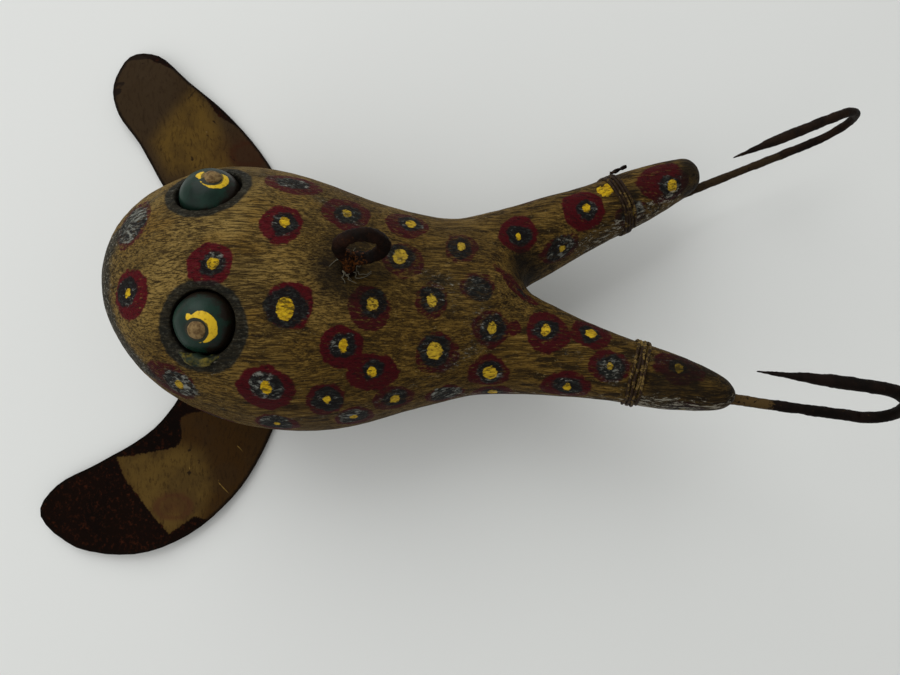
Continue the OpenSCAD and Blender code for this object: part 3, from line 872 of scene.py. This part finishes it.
def peg(side, name, material):
    """Whittled peg: a few knife cuts round it, and a worn domed end."""
    depth, top, thick, dome = 14, EYE_RADIUS[side] + 0.6, 2.25, 0.9
    line = [Vector((0, 0, z)) for z in np.linspace(-depth, top, 60)]

    def radius(share):
        below = (1 - share) * (depth + top)
        return thick * math.sqrt(max(0.02, 1 - max(0, dome - below) ** 2 / dome))

    mesh = tube(line, radius, sides=28)
    roughen(mesh, 1.8, 0.3, seed=side * 3)
    put_at(mesh, peg_frame(side))
    return piece(name + "_wood", mesh, material, "frog", "peg_wood", name)


enamel = eye_enamel()
peg_material = bare_peg()
eye(LEFT, "left_eye", enamel)
eye(RIGHT, "right_eye", enamel)
peg(LEFT, "left_eye_peg", peg_material)
peg(RIGHT, "right_eye_peg", peg_material)


def putty():
    """Filler pressed between the left ball and its socket, in one uneven lump."""
    length, width, height = 10.4, 3.0, 3.4
    socket, level = 9.3, 3.6
    mesh = ball(1)
    points = points_of(mesh) * (length / 2, width / 2, height / 2)
    points[:, 1] -= np.sqrt(np.maximum(0, socket ** 2 - points[:, 0] ** 2))
    points[:, 2] += level
    move_points(mesh, points)
    roughen(mesh, 2.2, 0.7, seed=7)
    roughen(mesh, 0.8, 0.2, seed=8)
    put_at(mesh, eye_frame(LEFT, SOCKET_TILT[LEFT]) @ turned(-8, "Z"))
    return piece("eye_putty", mesh, old_filler(), "frog", "putty", "left_eye_putty")


putty()


# ---------------------------------------------------------------- line tie

def line_tie():
    """One bent wire: a shank out of the wood that curls into a ring and closes on itself."""
    foot = Vector(JOINTS["line_tie_turn"]["pos_m"]) / MM
    shank = Vector(JOINTS["line_tie_turn"]["axis"]).normalized()
    ring = Vector(MOUNTS["line_tie_ring"]["pos_m"]) / MM
    hole = Vector(MOUNTS["line_tie_ring"]["axis"]).normalized()
    side = shank.cross(hole).normalized()
    if (foot - ring).dot(side) > 0:
        side = -side
    radius, aside, wire = 5.5, 2.6, 1.7
    start = math.degrees(math.asin(-aside / radius))
    turns = [math.radians(start - a) for a in range(14, 351, 6)]
    curl = [ring + side * radius * math.sin(t) - shank * radius * math.cos(t) for t in turns]
    line = smooth_line([foot + shank * h for h in (-14, -6, 0, 3.5)] + curl, 0.3)

    def thickness(share):
        pointed = min(1, 0.2 + share * 6)
        return wire * pointed * (1 + 0.05 * math.sin(share * 40))

    mesh = tube(line, thickness, sides=28)
    roughen(mesh, 1.1, 0.26, seed=2)
    roughen(mesh, 0.4, 0.1, seed=3)
    iron = rust("tie_rust", srgb(12, 6, 4), srgb(30, 14, 7), srgb(66, 34, 12), 0.0,
                painted=srgb(80, 44, 15))
    wire_faces = len(mesh.polygons)
    mesh = joined(mesh, knotted_thread(foot, shank))
    from_joint = np.linalg.norm(points_of(mesh) - np.array(foot + shank * 4.5), axis=1)
    store(mesh, paint=0.45 * fade(from_joint, 2, 7))
    made = piece("line_tie_wire", mesh, iron, "line_tie", "rusted_wire", "line_tie")
    mesh.materials.append(thread("old_thread", srgb(92, 86, 68)))
    is_thread = np.arange(len(mesh.polygons)) >= wire_faces
    mesh.polygons.foreach_set("material_index", is_thread.astype(np.int32))
    return made


def knotted_thread(foot, shank):
    """Broken ends of the old line, wound once round the shank's foot and lying on the wood."""
    across = shank.orthogonal().normalized()
    beside = shank.cross(across)
    rng = np.random.default_rng(5)
    fibres = []
    for _ in range(9):
        turn = rng.uniform(0, 2 * math.pi)
        length = rng.uniform(1.6, 4.4)
        line = []
        for share in np.linspace(0, 1, 7):
            turn += rng.uniform(-0.25, 0.5) * (1.6 - share)
            out = 1.9 + length * share ** 1.5
            height = 0.5 + rng.uniform(0, 0.5) * (1 - share)
            outwards = across * math.cos(turn) + beside * math.sin(turn)
            line.append(foot + shank * height + outwards * out)
        fibres.append(tube(smooth_line(line, 0.4), lambda share: 0.15 - 0.06 * share, sides=6))
    return joined(*fibres)


line_tie()


# ---------------------------------------------------------------- tin fins and nails

def polygon_distance(points, corners):
    """Signed distance in the XY plane, below 0 inside the corners."""
    corners = np.array(corners, float)
    nearest = np.full(len(points), 1e9)
    inside = np.zeros(len(points), bool)
    for a, b in zip(corners, np.roll(corners, -1, 0)):
        nearest = np.minimum(nearest, from_line(points, a, b))
        crosses = (a[1] > points[:, 1]) != (b[1] > points[:, 1])
        with np.errstate(divide="ignore", invalid="ignore"):
            at = a[0] + (points[:, 1] - a[1]) * (b[0] - a[0]) / (b[1] - a[1])
        inside ^= crosses & (points[:, 0] < at)
    return np.where(inside, -nearest, nearest)


def strokes(points, lines):
    """Distance to the nearest of some scratches, each (x, y, x, y, half width)."""
    return np.minimum.reduce([from_line(points, (a, b), (c, d)) - w for a, b, c, d, w in lines])


# Marks on each fin in millimetres from its nail: the corners of the lacquered patch and of its paler part,
# which is partly a painted sheen, rusty dents and pale scores as strokes, and a stain's middle and radius
MARKS = {
    LEFT: {
        "coat": [(-51, -43), (-43, -42), (-32, -40), (-30, -37), (-31, -31), (-29, -29), (4, -24),
                 (6, -40), (-9, -56), (-18, -64), (-25, -62), (-33, -67.5), (-40, -60), (-48, -50)],
        "glow": [(-51, -43), (-30, -40), (-24, -42), (-20, -52), (-24, -62), (-33, -68),
                 (-42, -60)],
        "dents": [(-29, -41.5, -27.3, -40.8, 0.2), (-28, -39.8, -27.6, -42.4, 0.2),
                  (-30.4, -43.3, -30.1, -45.5, 0.2), (-27.6, -48.2, -27.3, -48.4, 0.75),
                  (-11.8, -39, -9.4, -43, 0.15), (-18.4, -48.4, -16.6, -52, 0.15)],
        "scores": [(-27.9, -42.8, -27.3, -47.3, 0.12), (-15.3, -37.5, -11.2, -40, 0.12),
                   (-11.2, -40, -9.1, -43.3, 0.15), (-18.9, -48.2, -17.2, -51.9, 0.14),
                   (-17.2, -51.9, -14.2, -54.7, 0.14), (-35, -57.5, -31.5, -56.6, 0.08),
                   (-31.5, -56.6, -29.4, -59, 0.08), (-34, -61.5, -30, -61.5, 0.08)],
        "stain": (-32, -59, 8),
    },
    RIGHT: {
        "coat": [(-62, 45), (-52, 70), (-40, 64.5), (-30, 60), (-26, 55), (-23.5, 52),
                 (-21.5, 48.6), (-19, 46.2), (-16.3, 44.5), (-11, 43), (4, 40), (4, 0), (-40, 0)],
        "glow": [(-28, 55), (-33, 49), (-38, 43), (-41, 38), (-36, 28), (-15, 28), (-19, 40),
                 (-24, 50)],
        "dents": [(-30, 52.4, -27.3, 55.9, 0.22), (-25.1, 47.6, -19.7, 43.8, 0.22),
                  (-24, 40.7, -14.1, 31.5, 0.24), (-22, 42.1, -21.8, 42, 0.5),
                  (-28.8, 32.6, -28.7, 32.5, 0.7), (-54.5, 57.3, -51.8, 57.9, 0.4),
                  (-51.8, 57.9, -51.2, 56.6, 0.3), (-55, 54, -53.4, 55, 1.1),
                  (-50, 67, -42, 67.5, 1.2)],
        "scores": [(-54, 56.4, -52.2, 56.8, 0.2), (-23.9, 41.6, -23.5, 41.3, 0.35),
                   (-34, 44, -27, 38, 0.05)],
        "stain": (-10, 34, 15),
    },
}


def fin(side, name, curl, material):
    """Tin cut with snips: a grid cut into the CAD outline, then bent a little out of flat."""
    marks = MARKS[side]
    bm = cad_bmesh(name)
    low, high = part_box(name)
    for axis, way in ((0, (1, 0, 0)), (1, (0, 1, 0))):
        for at in np.arange(low[axis] + MM, high[axis], 1.2 * MM):
            geometry = bm.verts[:] + bm.edges[:] + bm.faces[:]
            place = [0, 0, 0]
            place[axis] = at
            bmesh.ops.bisect_plane(bm, geom=geometry, plane_co=place, plane_no=way, dist=1e-7)
    bmesh.ops.triangulate(bm, faces=bm.faces)
    mesh = to_mesh(bm)
    points = points_of(mesh)
    flat = points[:, :2] - np.array(NAIL[side])[:2]
    edge = -polygon_distance(flat, outline_of(name) / MM - np.array(NAIL[side])[:2])
    reach = np.linalg.norm(flat, axis=1)
    bend = np.array([noise.noise(Vector((x / 22, y / 22, side))) for x, y in flat])
    snips = np.array([noise.noise(Vector((x / 5, y / 5, side + 9))) for x, y in flat])
    lip = fade(edge, 0, 1.6) * snips
    points[:, 2] += fade(reach, 75, 34) * (curl + 1.1 * bend) + 0.35 * lip * fade(reach, 45, 32)
    move_points(mesh, points)
    stain_x, stain_y, stain_radius = marks["stain"]
    from_stain = np.linalg.norm((flat - (stain_x, stain_y)) * (0.8, 1.2), axis=1)
    ring = fade(np.abs(from_stain - 4.5), 0.4, 1.3)
    # The paler part of the lacquer is partly a painted sheen.
    store(mesh, edge=edge, patch=polygon_distance(flat, marks["coat"]),
          glow=fade(polygon_distance(flat, marks["glow"]), -3, 4),
          dents=strokes(flat, marks["dents"]), scores=strokes(flat, marks["scores"]),
          stain=0.5 * fade(from_stain, 0, stain_radius) + 0.4 * ring)
    made = piece(name + "_tin", mesh, material, name, name.replace("fin", "tin"), name)
    mesh.shade_flat()
    return made


def outline_of(node):
    """The outline of a CAD fin's upper face, in order, in metres. The nail's hole is left out."""
    bm = cad_bmesh(node)
    top = max(v.co.z for v in bm.verts) - 1e-5
    rim = [e for e in bm.edges if all(v.co.z > top for v in e.verts)
           and any(abs(f.normal.z) < 0.5 for f in e.link_faces)]
    nail = NAIL[LEFT if node.startswith("left") else RIGHT] * MM
    rim = [e for e in rim if (e.verts[0].co - nail).xy.length > 0.003]
    start = rim[0].verts[0]
    order, edge = [start], rim[0]
    left = set(rim)
    while edge:
        left.discard(edge)
        vert = edge.other_vert(order[-1])
        order.append(vert)
        edge = next((e for e in vert.link_edges if e in left), None)
    line = np.array([v.co.xy for v in order[:-1]])
    bm.free()
    return line


fin(LEFT, "left_fin", 1.9, tin(
    "left_tin", lacquer=srgb(84, 64, 28), cloudy=srgb(53, 34, 11), stain=srgb(66, 36, 22),
    base=srgb(15, 5, 2), pale=srgb(134, 106, 50)))
fin(RIGHT, "right_fin", 1.7, tin(
    "right_tin", lacquer=srgb(88, 66, 26), cloudy=srgb(52, 39, 24), stain=srgb(52, 25, 11),
    base=srgb(22, 8, 3), pale=srgb(112, 90, 56)))


def nail(side, name, material):
    """Hammered head and a tapering shank."""
    head = [(0, 0.06), (0.04, 1.7), (0.2, 2.15), (0.5, 2.3), (0.85, 2.25), (0.9, 1.0)]
    point = [(12, 0.95), (14.8, 0.2)]
    mesh = lathed(*NAIL[side].xy, head + point, 32)
    return piece(name + "_iron", mesh, material, "frog", "nail", name)


nail_rust = rust("nail_rust", srgb(44, 30, 22), srgb(70, 40, 24), srgb(120, 70, 36), 0.04)
nail(LEFT, "left_fin_nail", nail_rust)
nail(RIGHT, "right_fin_nail", nail_rust)


def weight():
    """Poured lead, its face hammered level with the belly."""
    low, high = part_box("belly_weight")
    radius = (high.x - low.x) / 2 / MM
    face = [(0.2, 0.05), (0.1, 4), (0.05, 6.8), (0.25, 7.7)]
    slug = [(0.8, radius), (6, radius), (13, radius), (13.01, 0.1)]
    mesh = lathed(*middle("belly_weight").xy, face + slug, 64)
    return piece("lead_weight", mesh, lead(), "frog", "lead", "belly_weight")


weight()


# ---------------------------------------------------------------- hooks and lashings

def hook(side, name, material, wire, swell, arm, taper, painted):
    """Forged hook: shank, round bend, a thicker hammered arm, needle point and raised barb.

    swell is how much thicker the arm is, arm and taper are the lengths of the arm and of its
    point, and painted is how far the leg's paint runs along the shank past the toe.
    """
    shank, gap, barb_place = 70, 17.5, 19
    bend = gap / 2
    corners = [(0, 0, 0), (18, 0, 0), (36, 0, 0), (54, 0, 0)]
    corners += [(shank + bend * math.sin(a), 0, bend - bend * math.cos(a))
                for a in (math.radians(k) for k in range(0, 181, 12))]
    corners += [(shank - 9, 0, gap + 0.2), (shank - 18, 0, gap + 0.1), (shank - arm, 0, gap)]
    line = smooth_line(corners, 0.5)
    length = sum((b - a).length for a, b in zip(line, line[1:]))

    def radius(share):
        to_tip = (1 - share) * length
        thick = wire / 2 * (1 + swell * fade(np.float64(to_tip), 22, 50))
        return float(min(thick, thick * to_tip / taper + 0.16))

    mesh = tube(line, radius, sides=22, flat=0.94)
    root = Vector((shank - arm + barb_place, 0, gap - wire / 2 + 0.1))
    barb_line = smooth_line([root, root + Vector((2.6, 0, -0.7)), root + Vector((5, 0, -2))], 0.3)
    barb = tube(barb_line, lambda share: 0.95 * (1 - share) + 0.12, sides=12, flat=0.7)
    mesh = joined(mesh, barb)
    toe = hook_frame(side).inverted() @ leg_frame(side) @ Vector((LEG_LENGTH[side], 0, 0))
    points = points_of(mesh)
    past_toe = points[:, 0] - toe.x
    store(mesh, paint=0.75 * fade(past_toe, painted - 2, painted + 3) * (points[:, 2] < bend))
    put_at(mesh, hook_frame(side))
    roughen(mesh, 3.5, 0.22, seed=side)
    roughen(mesh, 0.8, 0.12, seed=side + 5)
    return piece(name + "_iron", mesh, material, "frog", "hook_steel", name)


left_iron = rust("left_hook_rust", srgb(9, 5, 3), srgb(20, 11, 7), srgb(52, 30, 16), -0.04,
                 painted=srgb(70, 53, 28))
right_iron = rust("right_hook_rust", srgb(16, 10, 7), srgb(32, 21, 13), srgb(64, 44, 26), -0.02,
                  painted=srgb(44, 33, 19))
hook(LEFT, "left_hook", left_iron, wire=2.9, swell=0.16, arm=26.5, taper=18, painted=9)
hook(RIGHT, "right_hook", right_iron, wire=2.5, swell=0.14, arm=30.5, taper=14, painted=26)


def lashing(side, name, material):
    """Wire wound round the ankle and pulled into the wood, painted over with the leg."""
    turns, pitch, coil, wire = 3.5, 1.0, 9.57, 0.9
    ankle, steps = 0.64, 48
    place = leg_frame(side) @ moved(ankle * LEG_LENGTH[side], 0, 0)
    line = []
    for step in range(round(turns * steps) + 1):
        turn = step / steps
        angle = 2 * math.pi * turn
        out = Vector((0, math.cos(angle), math.sin(angle)))
        uneven = 0.14 * noise.noise(Vector((out.y, out.z, turn)) * 1.7 + Vector((side, 0, 0)))
        along = pitch * (turn - turns / 2) + 3 * uneven + 0.4 * math.sin(angle)
        start = place @ Vector((along, 0, 0))
        _, _, _, surface = body_surface.ray_cast(start * MM, place.to_3x3() @ out, 0.02)
        radius = min(coil, max(coil - 0.75, (surface or 0) / MM + 0.15))
        line.append(start + place.to_3x3() @ out * (radius + uneven * 0.5))
    mesh = tube(line, lambda share: wire / 2, sides=12)
    roughen(mesh, 1.2, 0.12, seed=side)
    return piece(name + "_wire", mesh, material, "frog", "lashing", name)


lashing(LEFT, "left_lashing", painted_wire("left_wire_paint", 0.85))
lashing(RIGHT, "right_lashing", painted_wire("right_wire_paint", 0.95))


def lashing_end(material):
    """The wire's free end: two strands twisted together."""
    low, high = (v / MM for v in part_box("right_lashing_end"))
    start = low + Vector((0.2, 0.5, 0.6))
    end = high - Vector((0, 0.4, 0.5))
    way = (end - start).normalized()
    beside, above = way.orthogonal().normalized(), way.cross(way.orthogonal().normalized())
    strands = []
    for phase in (0, math.pi):
        turns = [(t / 20, phase + t / 20 * 7) for t in range(21)]
        strands.append(tube([start.lerp(end, t) + 0.3 * (beside * math.cos(a) + above * math.sin(a))
                             for t, a in turns], lambda share: 0.42 - 0.1 * share, sides=10))
    mesh = joined(*strands)
    roughen(mesh, 0.8, 0.12, seed=4)
    return piece("lashing_end_wire", mesh, material, "frog", "lashing", "right_lashing_end")


lashing_end(rust("lashing_rust", srgb(22, 15, 11), srgb(44, 30, 20), srgb(92, 62, 34), -0.03))


# ---------------------------------------------------------------- floor, light and camera

def floor():
    bm = bmesh.new()
    bmesh.ops.create_grid(bm, x_segments=1, y_segments=1, size=4)
    made = bpy.data.objects.new("paper", to_mesh(bm))
    scene.collection.objects.link(made)
    paint = Paint("paper")
    colour = paint.mix(paint.noise(160, detail=2, seed=1), srgb(228, 229, 227), srgb(222, 222, 221))
    made.data.materials.append(paint.finish(colour, 0.85))


def soft_light(name, place, size, power, colour=(1, 1, 1)):
    """A square lamp that faces the middle of the paper."""
    light = bpy.data.lights.new(name, "AREA")
    light.size = size
    light.energy = power
    light.color = colour
    made = bpy.data.objects.new(name, light)
    made.location = place
    made.rotation_euler = (-Vector(place)).to_track_quat("-Z", "Y").to_euler()
    scene.collection.objects.link(made)


def camera():
    """Straight above and 3 degrees off plumb, as a phone is held over a table."""
    target, distance, tilt = Vector((0.007, -0.014, 0.026)), 0.2, math.radians(3)
    view = bpy.data.cameras.new("camera")
    view.sensor_width = 36
    view.lens = 27.04
    made = bpy.data.objects.new("camera", view)
    made.location = target + distance * Vector((0, -math.sin(tilt), math.cos(tilt)))
    made.rotation_euler = (tilt, 0, 0)
    scene.collection.objects.link(made)
    scene.camera = made


def daylight(colour, strength):
    world = bpy.data.worlds.new("room")
    world.use_nodes = True
    background = world.node_tree.nodes["Background"]
    background.inputs["Color"].default_value = colour
    background.inputs["Strength"].default_value = strength
    scene.world = world


floor()
soft_light("window", (-0.5, 0.92, 0.92), size=1.3, power=11.8, colour=(0.98, 1, 0.99))
soft_light("room", (-0.7, -0.45, 0.9), size=1.4, power=4.2)
daylight((0.98, 0.99, 0.97, 1), 0.44)
camera()
scene.view_settings.view_transform = "Standard"
